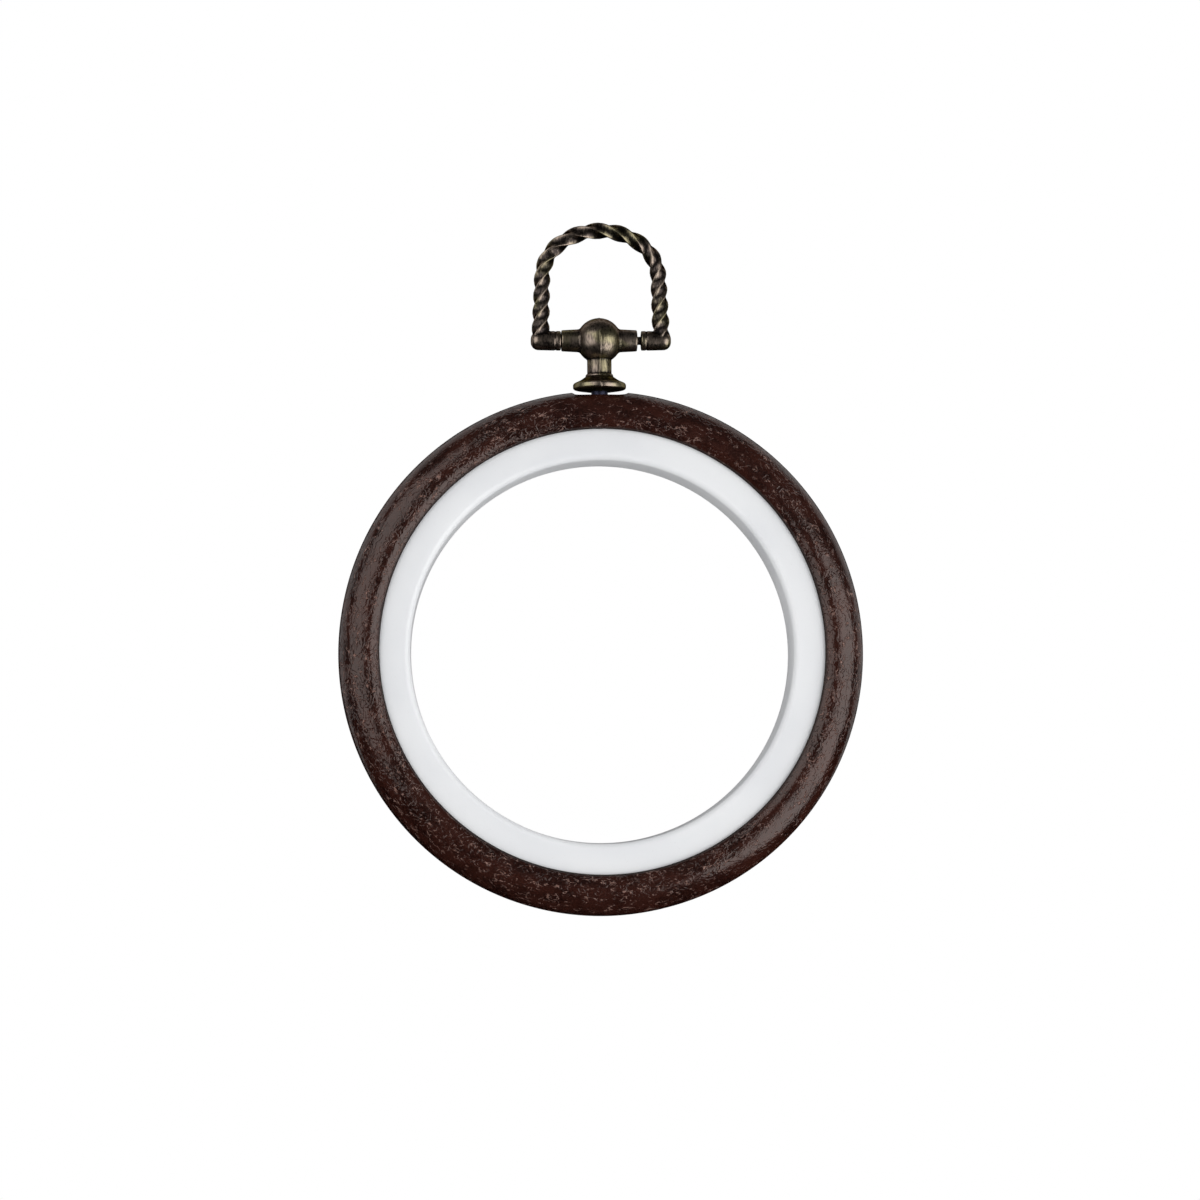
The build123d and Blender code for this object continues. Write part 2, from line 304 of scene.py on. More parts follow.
def outline(corners, place):
    """A closed outline with rounded corners. Each corner is two places and the length of its rounding."""
    section = bmesh.new()
    points = [section.verts.new(place(first, second)) for first, second, _ in corners]
    section.faces.new(points)
    for point, (_, _, rounding) in zip(points, corners):
        if rounding:
            bmesh.ops.bevel(
                section,
                geom=[point],
                offset=rounding,
                offset_type="OFFSET",
                affect="VERTICES",
                segments=round_steps,
                profile=0.5,
                material=-1,
            )
    bmesh.ops.delete(section, geom=section.faces[:], context="FACES_ONLY")
    bmesh.ops.remove_doubles(section, verts=section.verts, dist=merge_distance)
    return section


def turned(section, centre, axis, steps):
    """Spins an outline round an axis and closes the skin."""
    centre, axis = Vector(centre), Vector(axis)
    on_axis = [
        edge
        for edge in section.edges
        if all((vert.co - centre).cross(axis).length < axis_distance for vert in edge.verts)
    ]
    bmesh.ops.delete(section, geom=on_axis, context="EDGES")
    bmesh.ops.spin(
        section,
        geom=section.verts[:] + section.edges[:],
        cent=centre,
        axis=axis,
        angle=tau,
        steps=steps,
        use_merge=True,
    )
    bmesh.ops.remove_doubles(section, verts=section.verts, dist=merge_distance)
    bmesh.ops.recalc_face_normals(section, faces=section.faces)
    return section


print("corners rounded in", round_steps, "steps")

# %% [markdown]
# A bmesh is work in progress. It becomes an object with a mesh of its own, other objects are cut from it
# or joined to it with a Boolean modifier, and the result is stored as its mesh, with no modifier left.
# Last comes its dress: smooth shading, its finish, and the CAD body that carries it.

# %% From work to finished piece
def as_piece(name, work):
    """Makes an object at the origin out of a bmesh."""
    mesh = bpy.data.meshes.new(name)
    work.to_mesh(mesh)
    work.free()
    piece = bpy.data.objects.new(name, mesh)
    bpy.context.scene.collection.objects.link(piece)
    return piece


def cut_or_join(piece, tool, operation):
    """Cuts a piece with a tool or joins the tool to it, and drops the tool."""
    step = piece.modifiers.new("step", "BOOLEAN")
    step.operation, step.solver, step.object = operation, "EXACT", tool
    settle(piece)
    bpy.data.objects.remove(tool)


def settle(piece):
    """Bakes the modifiers of a piece into its mesh."""
    graph = bpy.context.evaluated_depsgraph_get()
    finished = bpy.data.meshes.new_from_object(piece.evaluated_get(graph))
    piece.modifiers.clear()
    old, piece.data = piece.data, finished
    bpy.data.meshes.remove(old)


def dress(piece, body, node, material, sharp_angle):
    """Smooth shading, the finish and the body that carries the piece."""
    piece.data.shade_smooth()
    piece.data.set_sharp_from_angle(angle=radians(sharp_angle))
    piece.data.materials.clear()
    piece.data.materials.append(material)
    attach(piece, body)
    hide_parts(node)
    low = min(Vector(corner).z for corner in piece.bound_box)
    high = max(Vector(corner).z for corner in piece.bound_box)
    triangles = sum(len(face.vertices) - 2 for face in piece.data.polygons)
    print(piece.name, triangles, "triangles, z", round(low / mm, 2), "to", round(high / mm, 2))


# %% [markdown]
# Both rings carry patterns that follow the hoop round. Noise on plain object coordinates would run
# straight through the ring, and an angle has a jump where it starts again. So this group puts a point on
# a small circle, at its own angle, and adds its radius as a third place. Noise that is read there runs
# along the ring, stretched, and has no seam. The depth goes into the fourth place of the noise.

# %% Coordinates that follow the hoop
hoop_places, given, out = group(
    "hoop_places",
    {"Place": ("NodeSocketVector", None), "Circle": ("NodeSocketFloat", 11.0)},
    {"Around": "NodeSocketVector", "Depth": "NodeSocketFloat", "Radius": "NodeSocketFloat"},
)
from_centre = put(
    hoop_places,
    "ShaderNodeVectorMath",
    {0: given["Place"], 1: hoop_centre},
    operation="SUBTRACT",
).outputs[0]
per_mm = {0: from_centre, "Scale": 1 / mm}
in_mm = put(hoop_places, "ShaderNodeVectorMath", per_mm, operation="SCALE").outputs[0]
parts = put(hoop_places, "ShaderNodeSeparateXYZ", {0: in_mm}).outputs
radius = maths(
    hoop_places,
    "SQRT",
    maths(
        hoop_places,
        "ADD",
        maths(hoop_places, "MULTIPLY", parts["X"], parts["X"]),
        maths(hoop_places, "MULTIPLY", parts["Z"], parts["Z"]),
    ),
)
shrink = maths(hoop_places, "DIVIDE", given["Circle"], radius)
around = put(
    hoop_places,
    "ShaderNodeCombineXYZ",
    {
        "X": maths(hoop_places, "MULTIPLY", parts["X"], shrink),
        "Y": maths(hoop_places, "MULTIPLY", parts["Z"], shrink),
        "Z": radius,
    },
)
hoop_places.links.new(around.outputs[0], out["Around"])
hoop_places.links.new(parts["Y"], out["Depth"])
hoop_places.links.new(radius, out["Radius"])


def hoop_noise(tree, circle, scale, detail=2.0, distortion=0.0):
    """Noise that runs along the hoop. A smaller circle stretches it more, scale is per millimetre."""
    place = put(tree, "ShaderNodeTexCoord").outputs["Object"]
    spot = put(tree, "ShaderNodeGroup", node_tree=hoop_places)
    tree.links.new(place, spot.inputs["Place"])
    spot.inputs["Circle"].default_value = circle
    sockets = {
        "Vector": spot.outputs["Around"],
        "W": spot.outputs["Depth"],
        "Scale": scale,
        "Detail": detail,
        "Distortion": distortion,
    }
    return put(tree, "ShaderNodeTexNoise", sockets, noise_dimensions="4D").outputs["Fac"]


print(hoop_places.name, "of", len(hoop_places.nodes), "nodes")

# %% [markdown]
# The soft ring is moulded in a dark red-brown, with a shallow wood grain pressed into it: short wormy
# grooves that run round the ring, in patches. They break up the sheen on its sides and catch small
# glints at the top and bottom. Lines along the middle values of stretched noise give such grooves. They
# could be cut into the mesh, but that would take millions of faces. Along the lip, beside the cloth, a
# dark band of painted shade stands in for the thin shadow line between the two rings.

# %% The soft ring's grain
def surface(name):
    """A new material, its nodes and its Principled shader."""
    material = bpy.data.materials.new(name)
    material.use_nodes = True
    return material, material.node_tree, material.node_tree.nodes["Principled BSDF"]


outer_low, outer_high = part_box("outer_ring")
outer_radius = (outer_high.x - outer_low.x) / 2
ring_width = 7.25 * mm
lip_radius = outer_radius - ring_width
# The width of the band of painted shade along the lip, for the shadow line between the rings.
lip_shade_width = 0.5 * mm

soft_brown, tree, shader = surface("soft_brown")
mottle = hoop_noise(tree, 20.0, 0.42, detail=1.5)
patches = hoop_noise(tree, 12.0, 0.2, detail=1.0)
worms = hoop_noise(tree, 24.0, 1.5, detail=1.0, distortion=0.6)
breaks = hoop_noise(tree, 24.0, 1.3, detail=1.0)
creases = hoop_noise(tree, 26.0, 0.9, detail=1.0, distortion=0.8)
pores = hoop_noise(tree, 30.0, 4.0, detail=2.0)
off_middle = maths(tree, "ABSOLUTE", maths(tree, "SUBTRACT", worms, 0.5))
off_crease = maths(tree, "ABSOLUTE", maths(tree, "SUBTRACT", creases, 0.5))
line = remap(tree, off_middle, 0.0, 0.05, 1.0, 0.0)
line = maths(tree, "MULTIPLY", line, remap(tree, breaks, 0.5, 0.62))
pressed = maths(tree, "MULTIPLY", line, remap(tree, patches, 0.35, 0.55, 0.3, 1.0))
creased = remap(tree, off_crease, 0.0, 0.09, 1.0, 0.0)
creased = maths(tree, "MULTIPLY", creased, remap(tree, patches, 0.4, 0.6, 0.25, 1.0))
spot = put(tree, "ShaderNodeGroup", node_tree=hoop_places)
tree.links.new(put(tree, "ShaderNodeTexCoord").outputs["Object"], spot.inputs["Place"])
# A mask for the band of painted shade just inside the lip, fading out over its width.
lip_shade_edge = (lip_radius + lip_shade_width) / mm
lip_shade = remap(tree, spot.outputs["Radius"], lip_radius / mm, lip_shade_edge, 1.0, 0.0)
print("grain of", len(tree.nodes), "nodes, lip at", round(lip_radius / mm, 2), "mm")

# %% [markdown]
# Colour, gloss and relief read the same masks, so that they stay together. Under everything lies a
# brown that is nearly black, mottled and with paler pores. The pressed lines are painted pale, as
# painted glints, and the band of painted shade along the lip is black and dull. The grooves are a bump,
# far too shallow to show in the ring's outline.

# %% The soft ring's colour and relief
deep_brown, red_brown = (0.009, 0.0026, 0.002, 1.0), (0.025, 0.0068, 0.0045, 1.0)
brown = blend(tree, remap(tree, mottle, 0.35, 0.65), deep_brown, red_brown)
brown = blend(tree, remap(tree, pores, 0.4, 0.65, 0.0, 0.4), brown, (0.046, 0.014, 0.009, 1.0))
# The pressed lines are painted pale: painted glints, where light would catch their edges.
brown = blend(tree, maths(tree, "MULTIPLY", pressed, 0.8), brown, (0.24, 0.135, 0.108, 1.0))
# Black along the lip: painted shade for the thin shadow line between the two rings.
brown = blend(tree, maths(tree, "MULTIPLY", lip_shade, 0.9), brown, (0.006, 0.004, 0.004, 1.0))
tree.links.new(brown, shader.inputs["Base Color"])
shader.inputs["Specular IOR Level"].default_value = 0.6
shader.inputs["Specular Tint"].default_value = (1.0, 0.84, 0.79, 1.0)
rough = maths(tree, "ADD", maths(tree, "MULTIPLY", pores, 0.12), maths(tree, "MULTIPLY", mottle, 0.08))
# The band of painted shade is also made rough, so that the sheen fades there too.
rough = maths(tree, "ADD", rough, maths(tree, "MULTIPLY", lip_shade, 0.7))
tree.links.new(maths(tree, "ADD", rough, 0.08), shader.inputs["Roughness"])
height = maths(tree, "MULTIPLY", pressed, 1.1)
height = maths(tree, "ADD", height, maths(tree, "MULTIPLY", creased, 0.45))
height = maths(tree, "ADD", height, maths(tree, "MULTIPLY", mottle, 1.1))
height = maths(tree, "ADD", height, maths(tree, "MULTIPLY", pores, 0.16))
bump = put(tree, "ShaderNodeBump", {"Height": height, "Strength": 1.0, "Distance": 0.1 * mm})
tree.links.new(bump.outputs[0], shader.inputs["Normal"])
print(soft_brown.name, "of", len(tree.nodes), "nodes")

# %% [markdown]
# The soft ring's section is a wide round outside its highest line, a tighter one down to the lip, and a
# flat back with the ledge and the groove for the rigid ring inside. A torus would be quicker, but it has
# none of these, so the section is drawn and spun. Cutters take out the hanger's seat, the stem's hole
# and the pocket inside.

# %% The soft ring
front_y, back_y = outer_low.y, outer_high.y
crest_width = 2.15 * mm
lip_drop = 1.1 * mm
lip_thickness = 0.4 * mm
lip_front_round = 0.3 * mm
lip_back_round = 0.06 * mm
cloth_ledge = 0.65 * mm
crest_radius = lip_radius + crest_width
side_round = outer_radius - crest_radius
lip_round = (crest_width**2 + lip_drop**2) / (2 * lip_drop)
lip_turn = asin(crest_width / lip_round)
lip_tangent = lip_round * (1 - cos(lip_turn)) / sin(lip_turn)
ledge_radius = lip_radius + cloth_ledge
ledge_y = front_y + lip_drop + lip_thickness
edge_round = 0.2 * mm
back_round = 0.9 * mm
groove_y = ledge_y + 3.9 * mm
groove_depth = 0.35 * mm
groove_half_width = 1.5 * mm
ring_steps = 360
# Two roundings share an edge, so each stops just short of its end.
nearly_all = 0.999


def in_hoop_section(radius_here, depth):
    return hoop_centre + Vector((radius_here, depth, 0))


soft_section = outline(
    [
        (outer_radius, front_y, side_round * nearly_all),
        (crest_radius - lip_tangent, front_y, lip_tangent * nearly_all),
        (lip_radius, front_y + lip_drop, lip_front_round),
        (lip_radius, ledge_y, lip_back_round),
        (ledge_radius, ledge_y, 0),
        (ledge_radius, groove_y - groove_half_width, 0),
        (ledge_radius + groove_depth, groove_y, 0),
        (ledge_radius, groove_y + groove_half_width, 0),
        (ledge_radius, back_y, edge_round),
        (outer_radius, back_y, back_round),
    ],
    in_hoop_section,
)
soft_ring = as_piece("soft_ring", turned(soft_section, hoop_centre, (0, 1, 0), ring_steps))


def upright_cutter(name, low, high, across):
    """An upright cylinder to cut with, from one height to another."""
    tool = bmesh.new()
    bmesh.ops.create_cone(
        tool, cap_ends=True, segments=64, radius1=across / 2, radius2=across / 2, depth=high - low
    )
    bmesh.ops.translate(tool, verts=tool.verts, vec=(0, 0, (high + low) / 2))
    return as_piece(name, tool)


seat_diameter = 10.3 * mm
stem_hole = 3.2 * mm
pocket_diameter = 5.8 * mm
pocket_depth = 1.7 * mm
ring_inside = hoop_centre.z + lip_radius - cloth_ledge
pocket_top = hoop_centre.z + ledge_radius + pocket_depth
above_ring = hoop_centre.z + outer_radius + 5 * mm
for name, low, high, across in (
    ("seat", seat_z, above_ring, seat_diameter),
    ("hole", ring_inside, above_ring, stem_hole),
    ("pocket", ring_inside, pocket_top, pocket_diameter),
):
    cut_or_join(soft_ring, upright_cutter(name, low, high, across), "DIFFERENCE")
dress(soft_ring, "outer_ring", "outer_ring", soft_brown, 30)

# %% [markdown]
# The rigid ring is glossy white plastic. It is nearly plain, with the faint cloudiness and fine orange
# peel of a moulding, and a little dust that makes it less shiny in spots. Light spreads a millimetre or
# so inside such plastic, and this softens the step from its front to the wall of the window.

# %% The white plastic's finish
white_plastic, tree, shader = surface("white_plastic")
clouds = hoop_noise(tree, 18.0, 0.12, detail=2.0)
peel = hoop_noise(tree, 40.0, 1.6, detail=2.0)
dust = remap(tree, hoop_noise(tree, 40.0, 3.2, detail=3.0), 0.62, 0.74)
cool_white, clear_white = (0.72, 0.73, 0.748, 1.0), (0.765, 0.773, 0.785, 1.0)
pale = blend(tree, remap(tree, clouds, 0.3, 0.7), cool_white, clear_white)
pale = blend(tree, maths(tree, "MULTIPLY", dust, 0.3), pale, (0.62, 0.61, 0.6, 1.0))
tree.links.new(pale, shader.inputs["Base Color"])
shader.inputs["Subsurface Weight"].default_value = 0.5
shader.inputs["Subsurface Radius"].default_value = (1.0, 1.0, 1.0)
shader.inputs["Subsurface Scale"].default_value = 1.6 * mm
gloss = maths(tree, "ADD", maths(tree, "MULTIPLY", clouds, 0.12), maths(tree, "MULTIPLY", dust, 0.25))
tree.links.new(maths(tree, "ADD", gloss, 0.26), shader.inputs["Roughness"])
bump = put(tree, "ShaderNodeBump", {"Height": peel, "Strength": 0.6, "Distance": 0.01 * mm})
tree.links.new(bump.outputs[0], shader.inputs["Normal"])
print(white_plastic.name, "of", len(tree.nodes), "nodes")

# %% [markdown]
# The rigid ring is a channel that opens at the back: a flange in front and two walls behind it. The
# inner wall slopes a little, so that the moulding leaves its tool, and the edge round the window is
# rounded. The outer wall has the low bead that the soft ring snaps over. Solidify on a thin sheet would
# give walls of one thickness, and these differ, so the whole section is drawn and spun too.

# %% The rigid ring
rigid_low, rigid_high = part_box("inner_ring")
cloth_gap = 0.3 * mm
wall_radius = ledge_radius - cloth_gap
flange_width = 5.9 * mm
window_radius = wall_radius - flange_width
window_draft = 0.05066
window_back_radius = window_radius - (rigid_high.y - rigid_low.y) * window_draft
window_round = 1.1 * mm
flange_back = rigid_low.y + 1.8 * mm
wall_thickness = 1.6 * mm
bead_height = 0.22 * mm
bead_round = 0.3 * mm
bead_half_width = 1.1 * mm
rigid_section = outline(
    [
        (wall_radius, rigid_low.y, edge_round),
        (wall_radius, groove_y - bead_half_width, 0),
        (wall_radius + bead_height, groove_y, bead_round),
        (wall_radius, groove_y + bead_half_width, 0),
        (wall_radius, rigid_high.y, edge_round),
        (wall_radius - wall_thickness, rigid_high.y, edge_round),
        (wall_radius - wall_thickness, flange_back, edge_round),
        (window_radius + wall_thickness, flange_back, edge_round),
        (window_radius + wall_thickness, rigid_high.y, edge_round),
        (window_back_radius, rigid_high.y, edge_round),
        (window_radius, rigid_low.y, window_round),
    ],
    in_hoop_section,
)
rigid_ring = as_piece("rigid_ring", turned(rigid_section, hoop_centre, (0, 1, 0), ring_steps))
dress(rigid_ring, "inner_ring", "inner_ring", white_plastic, 30)

# %% [markdown]
# Wear comes from the shape. Where handling rubs, on ridges and rims, the dark coat is gone, and in the
# hollows it stays. A copy of the points is smoothed many times, and how far each point stands out of
# that copy is stored on the mesh, from 0 in a hollow to 1 on a ridge. The Pointiness of a Geometry node
# is much the same, but it can't be set to a reach in millimetres.

# %% A record of ridges and hollows
def mark_relief(piece, passes, reach):
    """Stores how far each point stands out of the smoothed piece, as a share of a reach."""
    mesh = piece.data
    count = len(mesh.vertices)
    places = np.empty(count * 3)
    mesh.vertices.foreach_get("co", places)
    places = places.reshape(-1, 3)
    normals = np.empty(count * 3)
    mesh.vertices.foreach_get("normal", normals)
    normals = normals.reshape(-1, 3)
    ends = np.empty(len(mesh.edges) * 2, int)
    mesh.edges.foreach_get("vertices", ends)
    first, second = ends.reshape(-1, 2).T
    neighbours = np.bincount(ends, minlength=count)[:, None]
    smooth = places.copy()
    for _ in range(passes):
        total = np.zeros_like(smooth)
        for axis in range(3):
            total[:, axis] = np.bincount(first, smooth[second, axis], count)
            total[:, axis] += np.bincount(second, smooth[first, axis], count)
        smooth = (smooth + total / neighbours) / 2
    stands_out = ((places - smooth) * normals).sum(1)
    relief = np.clip(0.5 + stands_out / (2 * reach), 0, 1)
    mesh.attributes.new("relief", "FLOAT", "POINT").data.foreach_set("value", relief.astype(np.float32))
    print(piece.name, "relief from", round(relief.min(), 2), "to", round(relief.max(), 2))


# %% [markdown]
# The hanger and its bail are cast in a brass alloy and aged: nearly black in the hollows, brown on the
# faces, and rubbed to a pale warm grey along the ridges, with a hint of olive. The cast skin is slightly
# lumpy, and brushing left fine upright streaks. Both pieces place the same group of nodes, each with its
# own length of streak and amount of rubbing.

# %% The wear of aged brass, as a group
streaks_across = 4.0
brass_wear, given, out = group(
    "brass_wear",
    {
        "Place": ("NodeSocketVector", None),
        "Relief": ("NodeSocketFloat", 0.5),
        "Streak": ("NodeSocketFloat", 1.0),
        "Rubbing": ("NodeSocketFloat", 0.0),
    },
    {
        "Color": "NodeSocketColor",
        "Metallic": "NodeSocketFloat",
        "Roughness": "NodeSocketFloat",
        "Height": "NodeSocketFloat",
    },
)
per_mm = {0: given["Place"], "Scale": 1 / mm}
in_mm = put(brass_wear, "ShaderNodeVectorMath", per_mm, operation="SCALE").outputs[0]


def brass_grain(place, scale, detail):
    sockets = {"Vector": place, "Scale": scale, "Detail": detail}
    return put(brass_wear, "ShaderNodeTexNoise", sockets).outputs["Fac"]


lumps, hue = brass_grain(in_mm, 0.8, 1.5), brass_grain(in_mm, 0.24, 1.0)
finer = put(brass_wear, "ShaderNodeCombineXYZ", {"X": streaks_across, "Y": streaks_across})
brass_wear.links.new(maths(brass_wear, "DIVIDE", 1.0, given["Streak"]), finer.inputs["Z"])
drawn_out = {0: in_mm, 1: finer.outputs[0]}
brushed = put(brass_wear, "ShaderNodeVectorMath", drawn_out, operation="MULTIPLY").outputs[0]
streaks = brass_grain(brushed, 1.0, 2.0)
lumpy = maths(brass_wear, "MULTIPLY", lumps, 0.3)
uneven = maths(brass_wear, "ADD", lumpy, maths(brass_wear, "MULTIPLY", streaks, 1.2))
rubbed = maths(brass_wear, "ADD", given["Relief"], maths(brass_wear, "ADD", uneven, -0.75))
rubbed = maths(brass_wear, "ADD", rubbed, given["Rubbing"])
bare = remap(brass_wear, rubbed, 0.48, 1.1)
dirt = remap(brass_wear, rubbed, 0.45, 0.1)
olive = remap(brass_wear, hue, 0.42, 0.6)
brown_coat, olive_coat = (0.045, 0.036, 0.033, 1.0), (0.044, 0.039, 0.029, 1.0)
warm_metal, olive_metal = (0.33, 0.264, 0.214, 1.0), (0.32, 0.28, 0.172, 1.0)
coat = blend(brass_wear, olive, brown_coat, olive_coat)
coat = blend(brass_wear, dirt, coat, (0.007, 0.006, 0.006, 1.0))
metal = blend(brass_wear, olive, warm_metal, olive_metal)
brass_wear.links.new(blend(brass_wear, bare, coat, metal), out["Color"])
brass_wear.links.new(remap(brass_wear, rubbed, 0.1, 0.4, 0.7, 1.0), out["Metallic"])
rough = maths(brass_wear, "ADD", 0.26, maths(brass_wear, "MULTIPLY", lumps, 0.12))
rough = maths(brass_wear, "ADD", rough, maths(brass_wear, "MULTIPLY", dirt, 0.3))
brass_wear.links.new(rough, out["Roughness"])
height = maths(brass_wear, "ADD", lumps, maths(brass_wear, "MULTIPLY", streaks, 0.25))
brass_wear.links.new(height, out["Height"])
print(brass_wear.name, "of", len(brass_wear.nodes), "nodes")

# %% [markdown]
# Each of the two materials places the group, gives it its own length of streak and amount of rubbing,
# and joins its results to the Principled shader, which stays outside the group. The stored relief comes
# in through an Attribute node.

# %% The aged brass finishes
def aged_brass(name, streak_length, rubbing):
    """Cast and aged brass. Rubbing is how far the dark coat is worn where the shape is plain."""
    material, tree, shader = surface(name)
    wear = put(tree, "ShaderNodeGroup", node_tree=brass_wear)
    tree.links.new(put(tree, "ShaderNodeTexCoord").outputs["Object"], wear.inputs["Place"])
    relief = put(tree, "ShaderNodeAttribute", attribute_name="relief")
    tree.links.new(relief.outputs["Fac"], wear.inputs["Relief"])
    wear.inputs["Streak"].default_value = streak_length / mm
    wear.inputs["Rubbing"].default_value = rubbing
    tree.links.new(wear.outputs["Color"], shader.inputs["Base Color"])
    tree.links.new(wear.outputs["Metallic"], shader.inputs["Metallic"])
    tree.links.new(wear.outputs["Roughness"], shader.inputs["Roughness"])
    shader.inputs["Specular Tint"].default_value = (0.2, 0.18, 0.17, 1.0)
    sockets = {"Height": wear.outputs["Height"], "Strength": 0.8, "Distance": 0.03 * mm}
    tree.links.new(put(tree, "ShaderNodeBump", sockets).outputs[0], shader.inputs["Normal"])
    return material


head_brass = aged_brass("head_brass", 1.2 * mm, 0.3)
bail_brass = aged_brass("bail_brass", 0.8 * mm, 0.06)
print(head_brass.name, "and", bail_brass.name, "made")

# %% [markdown]
# The head is one casting: a dished foot, a waisted skirt, a neck, and a ball with a tube across it. It
# could be sculpted by hand. Turned outlines keep its sizes exact, and the corners are melted at the end.
# The foot and the neck are the first of them.

# %% The foot and the neck
head_low, head_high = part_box("hanger_head")
foot_bottom = head_low.z
foot_radius = (head_high.y - head_low.y) / 2
neck_height = 6.6 * mm
skirt_height = 1.3 * mm
rim_height = 1.0 * mm
skirt_top = tube_axis_z - neck_height
rim_top = skirt_top - skirt_height
rim_bottom = rim_top - rim_height
dish_radius = 2.2 * mm
rim_round = 0.3 * mm
skirt_radius = 3.5 * mm
band_radius = 2.5 * mm
band_height = 0.4 * mm
band_round = 0.12 * mm
neck_radius = 2.215 * mm


def upright_section(across, up):
    return Vector((across, 0, up))


neck_and_foot = outline(
    [
        (0, foot_bottom, 0),
        (dish_radius, foot_bottom, rim_round),
        (foot_radius, rim_bottom, rim_round),
        (foot_radius, rim_top, rim_round),
        (skirt_radius, rim_top + 0.6 * mm, 0.4 * mm),
        (band_radius, skirt_top, band_round),
        (band_radius, skirt_top + band_height, band_round),
        (neck_radius, skirt_top + 0.45 * mm, 0),
        (neck_radius, tube_axis_z, 0),
        (0, tube_axis_z, 0),
    ],
    upright_section,
)
cast_head = as_piece("cast_head", turned(neck_and_foot, (0, 0, 0), (0, 0, 1), 96))
print("foot", round(2 * foot_radius / mm, 2), "mm across")

# %% [markdown]
# The ball sits on the neck. The tube crosses it, flares where it meets it, and is the same on both
# sides, so only its right half is written down.

# %% The ball and the cross tube
ball_radius = 8.26 / 2 * mm
tube_half = (head_high.x - head_low.x) / 2
tube_end_radius = 1.925 * mm
tube_root_radius = 2.1 * mm
flare_radius = 2.6 * mm
flare_end = sqrt(ball_radius**2 - flare_radius**2)
tube_axis = Vector((0, 0, tube_axis_z))


def tube_section(along, out_from_axis):
    return Vector((along, 0, tube_axis_z + out_from_axis))


def both_sides(right_half):
    """The corners of a section that is the same on both sides, from left to right."""
    left_half = [(-along, away, rounding) for along, away, rounding in reversed(right_half)]
    return left_half + right_half


ball = bmesh.new()
bmesh.ops.create_uvsphere(ball, u_segments=96, v_segments=64, radius=ball_radius)
bmesh.ops.translate(ball, verts=ball.verts, vec=(0, 0, tube_axis_z))
cut_or_join(cast_head, as_piece("ball", ball), "UNION")

tube_half_outline = [
    (flare_end - 0.1 * mm, 2.7 * mm, 0),
    (flare_end + 0.4 * mm, tube_root_radius, 0.3 * mm),
    (tube_half, tube_end_radius, 0.15 * mm),
    (tube_half, 0, 0),
]
tube_outline = outline(both_sides(tube_half_outline), tube_section)
cut_or_join(cast_head, as_piece("tube", turned(tube_outline, tube_axis, (1, 0, 0), 80)), "UNION")
print("tube", round(2 * tube_half / mm, 2), "mm long")

# %% [markdown]
# On top of the ball stands a low nib. The bore for the bail's pins opens into a cone at each end, and a
# socket from below takes the stem. Boolean modifiers cut both, as drills would.

# %% The nib, the bore and the socket
nib_height = 0.9 * mm
nib_drop = 0.3 * mm
nib = bmesh.new()
bmesh.ops.create_cone(
    nib, cap_ends=True, segments=32, radius1=1.7 * mm, radius2=0.4 * mm, depth=nib_height
)
bmesh.ops.translate(nib, verts=nib.verts, vec=(0, 0, head_high.z - nib_height / 2 - nib_drop))
cut_or_join(cast_head, as_piece("nib", nib), "UNION")

bore_radius = 0.83 * mm
bore_mouth_radius = 2.35 * mm
mouth_depth = 0.52 * mm
past_tube = 1 * mm
bore_half_outline = [
    (tube_half - mouth_depth, bore_radius, 0),
    (tube_half + past_tube, bore_mouth_radius, 0),
    (tube_half + past_tube, 0, 0),
]
bore_outline = outline(both_sides(bore_half_outline), tube_section)
cut_or_join(cast_head, as_piece("bore", turned(bore_outline, tube_axis, (1, 0, 0), 64)), "DIFFERENCE")

stem_diameter = 3 * mm
stem_reach = 7 * mm
socket = upright_cutter("socket", foot_bottom - stem_reach, foot_bottom + stem_reach, stem_diameter)
cut_or_join(cast_head, socket, "DIFFERENCE")
print("head of", len(cast_head.data.polygons), "faces, before melting")

# %% [markdown]
# Cast metal has no sharp corners. A Remesh modifier in voxel mode rebuilds the joined shapes as one even
# skin, and a Smooth modifier rounds it, which also melts the joins together. A Bevel modifier would trip
# over the small edges where the shapes meet. Then the points along the middle plane are raised a little,
# for the line where the mould's halves met.

# %% Melting and the mould line
casting_voxel = 0.1 * mm


def melt(piece, voxel, passes):
    """Remeshes a joined piece evenly and softens its corners, as casting does."""
    remesh = piece.modifiers.new("remesh", "REMESH")
    remesh.mode, remesh.voxel_size = "VOXEL", voxel
    soften = piece.modifiers.new("soften", "SMOOTH")
    soften.factor, soften.iterations = 0.5, passes
    settle(piece)


melt(cast_head, casting_voxel, passes=4)
line_half_width = 0.16 * mm
line_height = 0.045 * mm
clear_of_socket = 1.8 * mm
above_socket = tube_axis_z + 2 * mm
for vertex in cast_head.data.vertices:
    off_line = abs(vertex.co.x) / line_half_width
    outside = vertex.co.xy.length > clear_of_socket or vertex.co.z > above_socket
    if off_line < 1 and outside:
        vertex.co += vertex.normal * line_height * (1 - off_line**2)
mark_relief(cast_head, passes=60, reach=0.12 * mm)
dress(cast_head, "head", "hanger_head", head_brass, 60)

# %% [markdown]
# The bail is the piece that takes the most skill: a square bar, twisted one way along two legs and an
# arch, with a collar and a pin at each foot. Its centreline comes first. The arch is one wide arc at the
# crown between two tighter ones at the shoulders, and each leg runs straight on from its shoulder.

